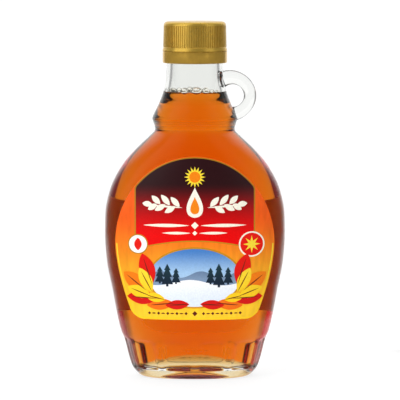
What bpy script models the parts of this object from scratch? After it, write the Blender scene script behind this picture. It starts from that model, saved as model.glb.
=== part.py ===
"""Maple syrup flask with a loop handle on its neck: a 250 ml oval glass bottle, filled with syrup and shut.

The frame is the bottle's own: +Z up, the origin at the middle of its foot, on the plane that it stands on.
+X points to the handle's side, and -Y is the front, where the large label is. Lengths are in metres.
"""

import math
import random

import bmesh
import bpy

MM = 0.001
GAP = 0.3 * MM  # clearance between pieces that touch on the real bottle
SHARP_ANGLE = 35.0  # faces that meet at more than this many degrees keep a sharp edge

# Section tables of the glass: height, half width and half depth of the oval, in millimetres.
FOOT = [(0.0, 24.6, 15.5), (0.6, 25.9, 16.5), (1.8, 27.2, 17.4), (3.2, 28.4, 18.2)]
HEEL = [(4.4, 29.2, 18.7), (9.6, 30.9, 19.7), (18.2, 33.1, 21.1), (20.0, 34.1, 21.7)]
BELLY = [
    (28.0, 36.2, 22.6),
    (40.8, 38.6, 23.7),
    (53.5, 41.1, 24.3),
    (66.0, 42.1, 24.6),
    (76.0, 41.8, 24.6),
]
SHOULDER = [
    (87.1, 39.6, 24.4),
    (98.3, 34.0, 23.7),
    (106.7, 26.8, 22.1),
    (112.3, 20.8, 19.8),
    (115.1, 18.5, 18.5),
]
ROLLED_BEAD = [(117.9, 19.1, 19.1), (120.0, 19.85, 19.85), (122.1, 19.2, 19.2)]
BELL = [(126.3, 17.1, 17.1), (131.9, 14.9, 14.9), (137.5, 13.6, 13.6), (146.6, 13.0, 13.0)]
GLASS_SECTIONS = FOOT + HEEL + BELLY + SHOULDER + ROLLED_BEAD + BELL

# The ovals are fuller than ellipses up to the shoulder: their power, and where it falls to 2 for the round neck.
FULLNESS = 2.2
ROUND_FROM = 94.0 * MM
ROUND_TO = 116.0 * MM

# Heights in millimetres at which the outer wall gets a ring of points.
OUTER_LEVELS = (
    [0.0, 0.6, 1.8, 3.2, 4.0, 5.2, 17.4, 18.6, 20.2, 28.0, 38.0, 48.0, 58.0, 68.0, 77.0, 84.5]
    + [90.0, 95.0, 99.5, 103.5, 107.0, 110.0, 112.8, 115.1, 116.8, 118.4, 120.0, 121.6, 124.0]
    + [128.0, 133.0, 138.5, 146.6]
)

# The twelve flutes pressed into the heel, with narrow ribs between them.
FLUTE_COUNT = 12
FLUTE_DEPTH = 0.8 * MM
FLUTE_LOW = 4.0 * MM
FLUTE_HIGH = 18.6 * MM
FLUTE_EDGE = 1.2 * MM
RIB_HALF_ANGLE = 4.5
FLUTE_SHOULDER_ANGLE = 7.0

# The foot and the push-up in it, whose rings are (share of the foot's width, share of its rise).
FOOT_RING_WIDTH = 2.6 * MM
PUSH_UP = 5.5 * MM
PUSH_UP_RINGS = [(0.35, 0.9), (0.7, 0.45)]

# The hollow inside: wall and bottom thickness, the rounding above the bottom, and its rings of points.
WALL = 2.9 * MM
NECK_WALL = 2.6 * MM
NECK_WALL_FROM = 101.0 * MM
NECK_WALL_TO = 119.0 * MM
BOTTOM_THICKNESS = 5.0 * MM
BOTTOM_RISE = 6.2 * MM
BOTTOM_DOME_SHARES = (0.45, 0.75)
BOTTOM_ROUNDING = 2.2 * MM
BOTTOM_ROUNDING_TURNS = (30, 60, 90)
CAVITY_SIDES = 36
CAVITY_LEVELS = (
    [20.0, 31.0, 43.0, 56.0, 68.0, 78.0, 86.0, 92.5, 98.5, 103.5, 108.5, 112.3, 115.5, 120.0]
    + [124.5, 129.0, 137.0]
)

# The finish that the cap screws on.
FINISH_RADIUS = 12.6 * MM
FINISH_BEAD_RADIUS = 13.05 * MM
FINISH_BEAD_LOW = 148.0 * MM
FINISH_BEAD_HIGH = 149.8 * MM
FINISH_BEAD_SLOPE = 0.5 * MM
MOUTH_RADIUS = 10.4 * MM
GLASS_HEIGHT = 163.1 * MM
LIP_ROUNDING = 0.6 * MM
PAST_END = 2.0 * MM  # how far a cutter reaches past the end that it opens

# The loop handle, a ring in the XZ plane whose inner side runs into the neck.
HANDLE_CENTRE_X = 17.5 * MM
HANDLE_CENTRE_Z = 130.7 * MM
HANDLE_RING_RADIUS = 8.1 * MM
HANDLE_HALF_WIDTH = 2.9 * MM
HANDLE_HALF_THICKNESS = 3.0 * MM
HANDLE_STEPS = 32
HANDLE_SIDES = 10
HANDLE_ROOT_FLARE = 1.48
HANDLE_FLARE_START = -0.9
HANDLE_FLARE_END = 0.7

# The syrup and the bubbles round its surface.
SYRUP_LEVEL = 131.9 * MM
BUBBLE_COUNT = 12
BUBBLE_SMALL = 1.1 * MM
BUBBLE_LARGE = 2.5 * MM
BUBBLE_SINK = -0.25
BUBBLE_SHIFT = 0.2
BUBBLE_SEED = 11

# The screw cap and its tamper band.
CAP_TOP = 165.1 * MM
CAP_LOW = 151.6 * MM
CAP_RIM_RADIUS = 15.0 * MM
CAP_RIM_HEIGHT = 0.5 * MM
CAP_RIM_SLOPE = 1.3 * MM
CAP_RIB_RADIUS_LOW = 14.7 * MM
CAP_RIB_RADIUS_HIGH = 14.45 * MM
CAP_RIB_DEPTH = 0.28 * MM
CAP_RIBS = 84
CAP_EDGE_ROUNDING = 1.8 * MM
CAP_EDGE_TURNS = (35, 75)
CAP_TOP_THICKNESS = 1.5 * MM
CAP_BORE = 13.45 * MM
BAND_TOP = 151.3 * MM
BAND_LOW = 145.9 * MM
BAND_RADIUS = 15.0 * MM
BAND_BORE = 13.6 * MM
BAND_EDGE = 0.4 * MM
ROUND_SIDES = 40

# The front label: an arch above, a taper and rounded corners below.
LABEL_WAIST_HEIGHT = 63.3 * MM
LABEL_HALF_WIDTH = 36.6 * MM
LABEL_ARCH_RISE = 40.6 * MM
LABEL_LOW = 28.6 * MM
LABEL_LOW_HALF_WIDTH = 27.9 * MM
LABEL_CORNER = 4.5 * MM
LABEL_TAPER_POWER = 1.6
LABEL_LOW_ROWS = 5
LABEL_ARCH_ROWS = 7

# The back label: a rectangle with rounded corners.
BACK_LABEL_LOW = 31.0 * MM
BACK_LABEL_HIGH = 79.3 * MM
BACK_LABEL_HALF_WIDTH = 34.0 * MM
BACK_LABEL_CORNER = 4.0 * MM
BACK_LABEL_ROWS = 6

# What both labels share.
LABEL_CORNER_TURNS = (0, 35, 65, 90)
LABEL_THICKNESS = 0.3 * MM
LABEL_GAP = 0.35 * MM
LABEL_COLUMNS = 12


def clear_scene():
    """Empties the scene that the script starts in."""
    for old in list(bpy.data.objects):
        bpy.data.objects.remove(old)


def make_material(name, colour, roughness, metallic=0.0, transmission=0.0):
    """A Principled material in one colour."""
    material = bpy.data.materials.new(name)
    material.use_nodes = True
    shader = material.node_tree.nodes["Principled BSDF"]
    shader.inputs["Base Color"].default_value = (*colour, 1.0)
    shader.inputs["Roughness"].default_value = roughness
    shader.inputs["Metallic"].default_value = metallic
    shader.inputs["Transmission Weight"].default_value = transmission
    return material


def slopes_through(points):
    """A slope at each (height, value) point that keeps a cubic through them free of overshoot."""
    steps = [
        (high[1] - low[1]) / (high[0] - low[0]) for low, high in zip(points, points[1:])
    ]
    slopes = [steps[0]]
    for before, after in zip(steps, steps[1:]):
        slopes.append(0.0 if before * after <= 0 else 2 * before * after / (before + after))
    return slopes + [steps[-1]]


def value_at(points, slopes, height):
    """The smooth curve through the points, read at a height."""
    if height <= points[0][0]:
        return points[0][1]
    for i in range(len(points) - 1):
        low, high = points[i], points[i + 1]
        if height <= high[0]:
            span = high[0] - low[0]
            t = (height - low[0]) / span
            return (
                low[1] * (2 * t**3 - 3 * t**2 + 1)
                + slopes[i] * span * (t**3 - 2 * t**2 + t)
                + high[1] * (3 * t**2 - 2 * t**3)
                + slopes[i + 1] * span * (t**3 - t**2)
            )
    return points[-1][1]


WIDTH_POINTS = [(row[0] * MM, row[1] * MM) for row in GLASS_SECTIONS]
DEPTH_POINTS = [(row[0] * MM, row[2] * MM) for row in GLASS_SECTIONS]
WIDTH_SLOPES = slopes_through(WIDTH_POINTS)
DEPTH_SLOPES = slopes_through(DEPTH_POINTS)


def half_width(height):
    return value_at(WIDTH_POINTS, WIDTH_SLOPES, height)


def half_depth(height):
    return value_at(DEPTH_POINTS, DEPTH_SLOPES, height)


def smooth_step(low, high, value):
    """0 below low, 1 above high and a smooth rise between them."""
    t = min(max((value - low) / (high - low), 0.0), 1.0)
    return t * t * (3 - 2 * t)


def flute_recess(angle, height):
    """How far the heel's wall is pressed in at this angle, in degrees, and height."""
    pitch = 360.0 / FLUTE_COUNT
    from_rib = abs((angle + pitch / 2) % pitch - pitch / 2)
    across = smooth_step(RIB_HALF_ANGLE, FLUTE_SHOULDER_ANGLE, from_rib)
    up = smooth_step(FLUTE_LOW, FLUTE_LOW + FLUTE_EDGE, height)
    down = smooth_step(FLUTE_HIGH - FLUTE_EDGE, FLUTE_HIGH, height)
    return FLUTE_DEPTH * across * up * (1 - down)


def outer_angles():
    """Angles in degrees: for each flute the two edges of its rib, the flute's own edges and its middle."""
    pitch = 360.0 / FLUTE_COUNT
    inside = [-RIB_HALF_ANGLE, RIB_HALF_ANGLE, FLUTE_SHOULDER_ANGLE]
    inside += [pitch / 2, pitch - FLUTE_SHOULDER_ANGLE]
    return [i * pitch + step for i in range(FLUTE_COUNT) for step in inside]


def even_angles(count):
    return [360.0 * i / count for i in range(count)]


def oval_power(height):
    """The power of the oval at a height: more than 2 is fuller at its corners than an ellipse."""
    return 2 + (FULLNESS - 2) * (1 - smooth_step(ROUND_FROM, ROUND_TO, height))


def oval(width, depth, height, angles, recess=None):
    """Points of one level oval. The angle runs from -Y towards +X."""
    points = []
    power = oval_power(height)
    for angle in angles:
        turn = math.radians(angle)
        aside, ahead = math.sin(turn), math.cos(turn)
        grow = (abs(aside) ** power + abs(ahead) ** power) ** (-1 / power)
        inward = recess(angle, height) if recess else 0.0
        points.append(
            (
                (width - inward) * aside * grow,
                -(depth - inward) * ahead * grow,
                height,
            )
        )
    return points


def solid_of_rings(name, rings, low_pole, high_pole, material):
    """A closed solid through rings of as many points each, from the lowest up, with a fan at both ends."""
    bm = bmesh.new()
    loops = [[bm.verts.new(point) for point in ring] for ring in rings]
    count = len(loops[0])
    for lower, upper in zip(loops, loops[1:]):
        for i in range(count):
            j = (i + 1) % count
            bm.faces.new((lower[i], lower[j], upper[j], upper[i]))
    for loop, pole, upward in ((loops[0], low_pole, False), (loops[-1], high_pole, True)):
        tip = bm.verts.new(pole)
        for i in range(count):
            j = (i + 1) % count
            corners = (loop[i], loop[j], tip) if upward else (loop[j], loop[i], tip)
            bm.faces.new(corners)
    return object_from(bm, name, material)


def object_from(bm, name, material):
    """Turns the bmesh into a named object with its faces pointing out."""
    bmesh.ops.recalc_face_normals(bm, faces=bm.faces)
    mesh = bpy.data.meshes.new(name)
    bm.to_mesh(mesh)
    bm.free()
    obj = bpy.data.objects.new(name, mesh)
    bpy.context.scene.collection.objects.link(obj)
    if material:
        mesh.materials.append(material)
        mesh.shade_smooth()
        mesh.set_sharp_from_angle(angle=math.radians(SHARP_ANGLE))
    return obj


def apply_boolean(obj, operation, other):
    """Applies one Boolean to obj, with an object or with all objects of a collection."""
    modifier = obj.modifiers.new("boolean", "BOOLEAN")
    modifier.operation = operation
    modifier.solver = "EXACT"
    if isinstance(other, bpy.types.Collection):
        modifier.operand_type = "COLLECTION"
        modifier.collection = other
    else:
        modifier.object = other
    graph = bpy.context.evaluated_depsgraph_get()
    made = bpy.data.meshes.new_from_object(obj.evaluated_get(graph))
    made.name = obj.name
    made.shade_smooth()
    made.set_sharp_from_angle(angle=math.radians(SHARP_ANGLE))
    obj.modifiers.clear()
    obj.data = made


def combine(obj, other, operation):
    """Joins the other object to obj, or cuts it out of obj, and removes the other."""
    apply_boolean(obj, operation, other)
    bpy.data.objects.remove(other)


def glass_outside(material):
    """The bottle as if it were solid glass, from the push-up under its foot to its lip."""
    angles = outer_angles()
    foot_width, foot_depth = half_width(0), half_depth(0)
    rings = [
        oval(foot_width * share, foot_depth * share, PUSH_UP * rise, angles)
        for share, rise in PUSH_UP_RINGS
    ]
    rings.append(
        oval(foot_width - FOOT_RING_WIDTH, foot_depth - FOOT_RING_WIDTH, 0.0, angles)
    )
    for level in OUTER_LEVELS:
        height = level * MM
        rings.append(
            oval(half_width(height), half_depth(height), height, angles, flute_recess)
        )
    neck = half_width(OUTER_LEVELS[-1] * MM)
    finish = [
        (neck, FINISH_BEAD_LOW - FINISH_BEAD_SLOPE),
        (FINISH_BEAD_RADIUS, FINISH_BEAD_LOW),
        (FINISH_BEAD_RADIUS, FINISH_BEAD_HIGH),
        (FINISH_RADIUS, FINISH_BEAD_HIGH + FINISH_BEAD_SLOPE),
        (FINISH_RADIUS, GLASS_HEIGHT - LIP_ROUNDING),
        (FINISH_RADIUS - LIP_ROUNDING, GLASS_HEIGHT),
    ]
    rings += [oval(radius, radius, height, angles) for radius, height in finish]
    return solid_of_rings(
        "glass_bottle", rings, (0, 0, PUSH_UP), (0, 0, GLASS_HEIGHT), material
    )


def cavity_oval(height, spare, angles):
    """The inside of the wall at a height, kept a further distance away from it."""
    thinner = smooth_step(NECK_WALL_FROM, NECK_WALL_TO, height)
    wall = WALL + (NECK_WALL - WALL) * thinner + spare
    bore = MOUTH_RADIUS - spare
    return oval(
        max(half_width(height) - wall, bore),
        max(half_depth(height) - wall, bore),
        height,
        angles,
    )


def cavity_rings(spare, top):
    """Rings of the hollow inside, from its rounded bottom up to the height top."""
    angles = even_angles(CAVITY_SIDES)
    floor = BOTTOM_THICKNESS + spare
    full = floor + BOTTOM_ROUNDING
    wide = half_width(full) - WALL - spare
    deep = half_depth(full) - WALL - spare
    rings = []
    for share in BOTTOM_DOME_SHARES:
        rise = BOTTOM_RISE * (1 - share**2)
        flat_width, flat_depth = wide - BOTTOM_ROUNDING, deep - BOTTOM_ROUNDING
        rings.append(oval(flat_width * share, flat_depth * share, floor + rise, angles))
    for turn in BOTTOM_ROUNDING_TURNS:
        rise = BOTTOM_ROUNDING * (1 - math.cos(math.radians(turn)))
        shrink = BOTTOM_ROUNDING * (1 - math.sin(math.radians(turn)))
        rings.append(oval(wide - shrink, deep - shrink, floor + rise, angles))
    levels = [level * MM for level in CAVITY_LEVELS]
    below_top = [level for level in levels if level < top - GAP]
    return rings + [cavity_oval(level, spare, angles) for level in below_top + [top]]


def cavity_bottom(spare):
    """The raised middle of the inner bottom, over the push-up."""
    return BOTTOM_THICKNESS + spare + BOTTOM_RISE


def handle_ring():
    """The loop handle as a whole ring that spreads outwards where it runs into the neck."""
    bm = bmesh.new()
    loops = []
    for i in range(HANDLE_STEPS):
        along = 2 * math.pi * i / HANDLE_STEPS
        near_neck = smooth_step(HANDLE_FLARE_START, HANDLE_FLARE_END, -math.cos(along))
        loop = []
        for j in range(HANDLE_SIDES):
            round_section = 2 * math.pi * (j + 0.5) / HANDLE_SIDES
            outward = math.cos(round_section)
            flare = 1 + (HANDLE_ROOT_FLARE - 1) * near_neck * max(outward, 0.0)
            reach = HANDLE_RING_RADIUS + HANDLE_HALF_WIDTH * flare * outward
            loop.append(
                bm.verts.new(
                    (
                        HANDLE_CENTRE_X + reach * math.cos(along),
                        HANDLE_HALF_THICKNESS * math.sin(round_section),
                        HANDLE_CENTRE_Z + reach * math.sin(along),
                    )
                )
            )
        loops.append(loop)
    for i in range(HANDLE_STEPS):
        here, following = loops[i], loops[(i + 1) % HANDLE_STEPS]
        for j in range(HANDLE_SIDES):
            k = (j + 1) % HANDLE_SIDES
            bm.faces.new((here[j], here[k], following[k], following[j]))
    return object_from(bm, "handle_ring", None)


def build_glass(material):
    """The bottle with its handle, hollowed from the mouth down: one piece of glass."""
    glass = glass_outside(material)
    combine(glass, handle_ring(), "UNION")
    past_lip = GLASS_HEIGHT + PAST_END
    hollow = solid_of_rings(
        "hollow",
        cavity_rings(0.0, past_lip),
        (0, 0, cavity_bottom(0.0)),
        (0, 0, past_lip),
        None,
    )
    combine(glass, hollow, "DIFFERENCE")


def make_bubble(name, radius, angle, reach):
    """One ball of the foam, with its middle a little below the syrup's surface."""
    bm = bmesh.new()
    bmesh.ops.create_icosphere(bm, subdivisions=2, radius=radius)
    place = (reach * math.sin(angle), -reach * math.cos(angle), SYRUP_LEVEL - BUBBLE_SINK * radius)
    bmesh.ops.translate(bm, verts=bm.verts, vec=place)
    return object_from(bm, name, None)


def build_syrup(material):
    """The syrup up to its level, with the bubbles that ring its surface fused on."""
    syrup = solid_of_rings(
        "syrup",
        cavity_rings(GAP, SYRUP_LEVEL),
        (0, 0, cavity_bottom(GAP)),
        (0, 0, SYRUP_LEVEL),
        material,
    )
    dice = random.Random(BUBBLE_SEED)
    foam = bpy.data.collections.new("foam")
    bpy.context.scene.collection.children.link(foam)
    rim = half_width(SYRUP_LEVEL) - NECK_WALL - 3 * GAP
    for i in range(BUBBLE_COUNT):
        radius = dice.uniform(BUBBLE_SMALL, BUBBLE_LARGE)
        shift = dice.uniform(-BUBBLE_SHIFT, BUBBLE_SHIFT)
        angle = 2 * math.pi * (i + shift) / BUBBLE_COUNT
        bubble = make_bubble(f"bubble_{i}", radius, angle, rim - radius)
        bpy.context.scene.collection.objects.unlink(bubble)
        foam.objects.link(bubble)
    apply_boolean(syrup, "UNION", foam)
    for bubble in list(foam.objects):
        bpy.data.objects.remove(bubble)
    bpy.data.collections.remove(foam)


def round_solid(name, profile, sides, material):
    """A turned solid through (radius, height) rings, shut by a fan at both ends."""
    angles = even_angles(sides)
    rings = [oval(radius, radius, height, angles) for radius, height in profile]
    poles = [(0, 0, profile[0][1]), (0, 0, profile[-1][1])]
    return solid_of_rings(name, rings, poles[0], poles[1], material)


def build_cap(material):
    """The screw cap: a plain rim, a ribbed grip and a rounded top, hollow below."""
    angles = even_angles(2 * CAP_RIBS)
    crest_to_valley = [0.0, CAP_RIB_DEPTH]

    def ribbed(radius, height):
        ring = []
        for i, angle in enumerate(angles):
            turn = math.radians(angle)
            reach = radius - crest_to_valley[i % 2]
            ring.append((reach * math.sin(turn), -reach * math.cos(turn), height))
        return ring

    rib_low = CAP_LOW + CAP_RIM_HEIGHT + CAP_RIM_SLOPE
    rib_high = CAP_TOP - CAP_EDGE_ROUNDING
    rings = [
        oval(CAP_RIM_RADIUS, CAP_RIM_RADIUS, CAP_LOW, angles),
        oval(CAP_RIM_RADIUS, CAP_RIM_RADIUS, CAP_LOW + CAP_RIM_HEIGHT, angles),
        ribbed(CAP_RIB_RADIUS_LOW, rib_low),
        ribbed(CAP_RIB_RADIUS_HIGH, rib_high),
    ]
    for turn in CAP_EDGE_TURNS:
        shrink = CAP_EDGE_ROUNDING * (1 - math.cos(math.radians(turn)))
        rise = CAP_EDGE_ROUNDING * math.sin(math.radians(turn))
        radius = CAP_RIB_RADIUS_HIGH - CAP_RIB_DEPTH - shrink
        rings.append(oval(radius, radius, rib_high + rise, angles))
    cap = solid_of_rings("cap", rings, (0, 0, CAP_LOW), (0, 0, CAP_TOP), material)
    bore = round_solid(
        "cap_bore",
        [(CAP_BORE, CAP_LOW - PAST_END), (CAP_BORE, CAP_TOP - CAP_TOP_THICKNESS)],
        ROUND_SIDES,
        None,
    )
    combine(cap, bore, "DIFFERENCE")


def build_tamper_band(material):
    """The plain ring under the cap that stays on the neck when the cap is first turned."""
    outside = [
        (BAND_RADIUS - BAND_EDGE, BAND_LOW),
        (BAND_RADIUS, BAND_LOW + BAND_EDGE),
        (BAND_RADIUS, BAND_TOP),
    ]
    band = round_solid("tamper_band", outside, ROUND_SIDES, material)
    bore = round_solid(
        "band_bore",
        [(BAND_BORE, BAND_LOW - PAST_END), (BAND_BORE, BAND_TOP + PAST_END)],
        ROUND_SIDES,
        None,
    )
    combine(band, bore, "DIFFERENCE")


def label_half_width(height):
    """Half the front label's width at a height: an elliptic arch above its waist, a taper below it."""
    if height >= LABEL_WAIST_HEIGHT:
        rise = min((height - LABEL_WAIST_HEIGHT) / LABEL_ARCH_RISE, 1.0)
        return LABEL_HALF_WIDTH * math.sqrt(1 - rise * rise)
    fall = (LABEL_WAIST_HEIGHT - height) / (LABEL_WAIST_HEIGHT - LABEL_LOW)
    taper = (LABEL_HALF_WIDTH - LABEL_LOW_HALF_WIDTH) * fall**LABEL_TAPER_POWER
    from_corner = max(LABEL_CORNER - (height - LABEL_LOW), 0.0)
    corner = LABEL_CORNER - math.sqrt(LABEL_CORNER**2 - from_corner**2)
    return LABEL_HALF_WIDTH - taper - corner


def label_heights():
    """Heights of the front label's rows, closer together in its corners and towards the top of its arch."""
    corners = [
        LABEL_LOW + LABEL_CORNER * (1 - math.cos(math.radians(turn)))
        for turn in LABEL_CORNER_TURNS
    ]
    below = [
        corners[-1] + (LABEL_WAIST_HEIGHT - corners[-1]) * i / LABEL_LOW_ROWS
        for i in range(1, LABEL_LOW_ROWS)
    ]
    arch = [
        LABEL_WAIST_HEIGHT + LABEL_ARCH_RISE * math.sin(math.radians(90 * i / LABEL_ARCH_ROWS))
        for i in range(LABEL_ARCH_ROWS)
    ]
    return corners + below + arch


def on_front(x, height, away):
    """The point on the front of the glass at this x and height, moved straight out of the oval."""
    width, depth = half_width(height), half_depth(height)
    power = oval_power(height)
    across = min(abs(x) / width, 1.0)
    ahead = (1 - across**power) ** (1 / power)
    y = -depth * ahead
    slope_x = math.copysign(across ** (power - 1) / width, x)
    slope_y = -(ahead ** (power - 1)) / depth
    length = math.hypot(slope_x, slope_y)
    return (x + away * slope_x / length, y + away * slope_y / length, height)


def back_label_half_width(height):
    """Half the back label's width at a height: full but for its rounded corners."""
    to_edge = min(height - BACK_LABEL_LOW, BACK_LABEL_HIGH - height)
    from_corner = max(BACK_LABEL_CORNER - to_edge, 0.0)
    corner = BACK_LABEL_CORNER - math.sqrt(BACK_LABEL_CORNER**2 - from_corner**2)
    return BACK_LABEL_HALF_WIDTH - corner


def back_label_heights():
    """Heights of the back label's rows, closer together in its corners."""
    rounding = [
        BACK_LABEL_CORNER * (1 - math.cos(math.radians(turn))) for turn in LABEL_CORNER_TURNS
    ]
    low = BACK_LABEL_LOW + BACK_LABEL_CORNER
    high = BACK_LABEL_HIGH - BACK_LABEL_CORNER
    middle = [low + (high - low) * i / BACK_LABEL_ROWS for i in range(1, BACK_LABEL_ROWS)]
    below = [BACK_LABEL_LOW + step for step in rounding]
    above = [BACK_LABEL_HIGH - step for step in reversed(rounding)]
    return below + middle + above


def build_label(name, side, heights, width_at, apex, material):
    """A thin label bent round the front of the bottle, or with side -1 round its back.

    Its rows of points lie at the heights, and an apex closes an arch above the last of them.
    """
    bm = bmesh.new()
    rims = []
    for away in (LABEL_GAP, LABEL_GAP + LABEL_THICKNESS):
        rows = []
        for height in heights:
            width = half_width(height)
            widest = math.asin(width_at(height) / width)
            row = []
            for i in range(LABEL_COLUMNS + 1):
                turn = widest * (2 * i / LABEL_COLUMNS - 1)
                x, y, z = on_front(width * math.sin(turn), height, away)
                row.append(bm.verts.new((side * x, side * y, z)))
            rows.append(row)
        for low, high in zip(rows, rows[1:]):
            for i in range(LABEL_COLUMNS):
                bm.faces.new((low[i], low[i + 1], high[i + 1], high[i]))
        top = rows[-1][-2:0:-1]
        if apex:
            x, y, z = on_front(0.0, apex, away)
            top = [bm.verts.new((side * x, side * y, z))]
            for i in range(LABEL_COLUMNS):
                bm.faces.new((rows[-1][i], rows[-1][i + 1], top[0]))
        right = [row[-1] for row in rows[1:]]
        left = [row[0] for row in rows[:0:-1]]
        rims.append(rows[0] + right + top + left)
    inner, outer = rims
    for i in range(len(inner)):
        j = (i + 1) % len(inner)
        bm.faces.new((inner[i], inner[j], outer[j], outer[i]))
    return object_from(bm, name, material)


def main():
    clear_scene()
    clear_glass = make_material("clear_glass", (0.95, 0.97, 0.96), 0.05, transmission=1.0)
    amber = make_material("amber_syrup", (0.75, 0.26, 0.03), 0.05, transmission=0.6)
    gold = make_material("gold_plastic", (0.60, 0.42, 0.13), 0.38, metallic=0.35)
    print_front = make_material("printed_paper", (0.95, 0.42, 0.06), 0.4)
    print_back = make_material("back_paper", (0.93, 0.88, 0.76), 0.5)
    build_glass(clear_glass)
    build_syrup(amber)
    build_cap(gold)
    build_tamper_band(gold)
    apex = LABEL_WAIST_HEIGHT + LABEL_ARCH_RISE
    build_label("front_label", 1, label_heights(), label_half_width, apex, print_front)
    build_label("back_label", -1, back_label_heights(), back_label_half_width, None, print_back)


main()
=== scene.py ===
"""The looks of a flask of maple syrup: clear glass, amber syrup, foam, a gold screw cap and two labels.

Lengths are in metres, but the bottle's measures below are in mm wherever MM doesn't multiply them.
The bottle stands on z = 0 with its front towards -Y and its handle towards +X.
"""

import math

import bmesh
import bpy
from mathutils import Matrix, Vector


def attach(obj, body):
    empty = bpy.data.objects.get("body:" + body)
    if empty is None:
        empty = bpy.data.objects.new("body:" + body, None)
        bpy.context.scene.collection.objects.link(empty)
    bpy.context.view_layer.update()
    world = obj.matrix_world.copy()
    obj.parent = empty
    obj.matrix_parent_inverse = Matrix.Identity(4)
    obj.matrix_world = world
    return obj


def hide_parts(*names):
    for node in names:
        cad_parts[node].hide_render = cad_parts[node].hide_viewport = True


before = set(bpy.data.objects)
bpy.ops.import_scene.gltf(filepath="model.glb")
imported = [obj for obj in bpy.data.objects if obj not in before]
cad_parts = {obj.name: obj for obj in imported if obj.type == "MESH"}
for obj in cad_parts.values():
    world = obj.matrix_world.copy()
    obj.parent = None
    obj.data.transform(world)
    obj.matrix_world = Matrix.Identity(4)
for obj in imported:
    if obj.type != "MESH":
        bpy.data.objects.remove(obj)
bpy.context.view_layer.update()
MM = 0.001

# The studio: brightness round the bottle by degrees from the camera's side, positive towards +X.
STUDIO_ROUND = [
    (-180, 1.15),
    (-148, 1.15),
    (-137, 0.5),
    (-119, 0.28),
    (-90, 0.2),
    (-80, 1.3),
    (-35, 1.3),
    (-18, 0.3),
    (10, 0.12),
    (36, 0.12),
    (50, 0.7),
    (76, 0.7),
    (86, 0.2),
    (119, 0.28),
    (137, 0.5),
    (148, 1.15),
    (180, 1.15),
]

# The studio's bright top: its value, its direction and the cosines between which it rises.
STUDIO_TOP = 1.1
STUDIO_TOP_TOWARDS = (0.0, 0.7, 0.714)
STUDIO_TOP_FROM = 0.6
STUDIO_TOP_TO = 0.8

# Soft boxes: name, place, size and watts.
LIGHTS = [
    ("key_left", (-0.9, -1.1, 0.5), (0.5, 0.9), 9.0),
    ("fill_right", (1.0, -1.0, 0.4), (0.4, 0.9), 5.5),
]
LIGHTS_AIM = (0.0, 0.0, 0.08)

# The floor glows round the bottle and behind it, painted light from the floor's own emission. Each pair
# gives where a glow begins to change and where it has changed, in metres from the bottle's axis or in
# degrees from the front.
FLOOR_RADIUS = 40.0
FLOOR_TONE = 0.25
FLOOR_ROUGHNESS = 0.9
GLOW_NEAR = (0.12, 0.2)
GLOW_NEAR_ASIDE = (0.102, 0.115)
GLOW_BEHIND = (118.0, 132.0)
GLOW_FAR_BEHIND = (134.0, 146.0)
FAR = (0.45, 0.75)

# The painted glow's least and most, and the oval under the foot that doesn't glow, a painted shadow: its
# shape and its two edges.
GLOW = (0.04, 0.8)
SHADE_SHAPE = (0.65, 1.0, 1.0)
SHADE_UNDER = (0.0132, 0.0162)

# The camera: far away, a little above the bottle, with a long lens aimed at the bottle's middle height.
PHOTO_SIZE = 400
SENSOR_MM = 36.0
CAMERA_DISTANCE = 1.5
CAMERA_ELEVATION = math.radians(5.0)
PIXELS_PER_MM = 2.147
BOTTLE_AXIS_PIXEL = 194.9
MIDDLE_HEIGHT = 0.082
CAMERA_CLIP = (0.05, 20.0)

# Section tables of the glass: height, half width and half depth of the oval, in millimetres.
FOOT = [(0.0, 24.6, 15.5), (0.6, 25.9, 16.5), (1.8, 27.2, 17.4), (3.2, 28.4, 18.2)]
HEEL = [(4.4, 29.2, 18.7), (9.6, 30.9, 19.7), (18.2, 33.1, 21.1), (20.0, 34.1, 21.7)]
BELLY = [
    (28.0, 36.2, 22.6),
    (40.8, 38.6, 23.7),
    (53.5, 41.1, 24.3),
    (66.0, 42.0, 24.6),
    (76.0, 41.8, 24.6),
]
SHOULDER = [
    (87.1, 39.6, 24.4),
    (98.3, 34.0, 23.7),
    (106.7, 26.8, 22.1),
    (112.3, 20.8, 19.8),
    (115.1, 18.5, 18.5),
]
ROLLED_BEAD = [(117.9, 19.1, 19.1), (120.0, 19.85, 19.85), (122.1, 19.2, 19.2)]
BELL = [(126.3, 17.1, 17.1), (131.9, 14.9, 14.9), (137.5, 13.6, 13.6), (146.6, 13.0, 13.0)]
GLASS_SECTIONS = FOOT + HEEL + BELLY + SHOULDER + ROLLED_BEAD + BELL

# How much of a plain mirror image glass and syrup show face on, their refraction and their colour.
GLASS_SHEEN = 0.06
GLASS_IOR = 1.52
SYRUP_IOR = 1.43
GLASS_TINT = (0.885, 0.893, 0.875)
SYRUP_SHEEN = 0.03
SYRUP_COLOUR = (0.978, 0.71, 0.125, 1.0)
SYRUP_DENSITY = 200.0

# Gold plastic of cap and band: display colour and the range of its roughness.
CAP_GOLD = (218, 178, 74)
CAP_POLISH = (0.26, 0.34)
BAND_GOLD = (216, 172, 70)
BAND_POLISH = (0.1, 0.16)
GOLD_METAL = 0.7

# Paper and print: display colour below and above, and the two heights in mm between which it changes.
FRONT_SHADES = ((255, 204, 44), (252, 98, 22), 30, 78)
BACK_SHADES = ((246, 216, 178), (248, 222, 190), 30, 80)
PRINT_ROUGHNESS = 0.42
BACK_ROUGHNESS = 0.6
PAPER_SHEEN = 0.2

# How far red, green and blue light spread in the back label's paper, in metres.
PAPER_SCATTER = (0.0012, 0.0008, 0.0005)

# The middle part of a noise's values, which is spread over a grain's range.
GRAIN_RANGE = (0.3, 0.7)

# The flask's ovals are fuller than ellipses up to its shoulder: their power, and where it falls to 2.
FULLNESS = 2.2
ROUND_FROM = 94.0
ROUND_TO = 116.0

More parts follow.
